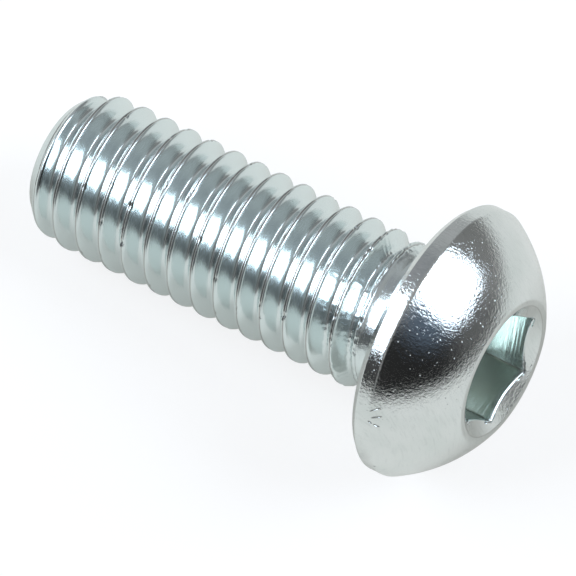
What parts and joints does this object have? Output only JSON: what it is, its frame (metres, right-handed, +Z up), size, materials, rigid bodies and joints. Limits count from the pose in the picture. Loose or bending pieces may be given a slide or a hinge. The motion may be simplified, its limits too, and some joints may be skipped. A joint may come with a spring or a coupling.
{
  "type": "button head screw",
  "caption": "Dome-headed machine screw with a hexagon socket, a short plain neck and a rolled metric thread, lying on its side.",
  "frame": {"origin": "on the floor, below the middle of the lying screw", "axes": "+Z up, +X towards the head; the screw's axis lies over X and rises 8.6 degrees towards the head"},
  "size_m": [0.0196, 0.0104, 0.0104],
  "materials": {
    "zinc_plated_steel": "bright zinc plating with a cool grey-green cast, smooth, faintly dimpled on the dome"
  },
  "bodies": {
    "root": {"button_head_screw": "zinc_plated_steel"}
  },
  "joints": []
}
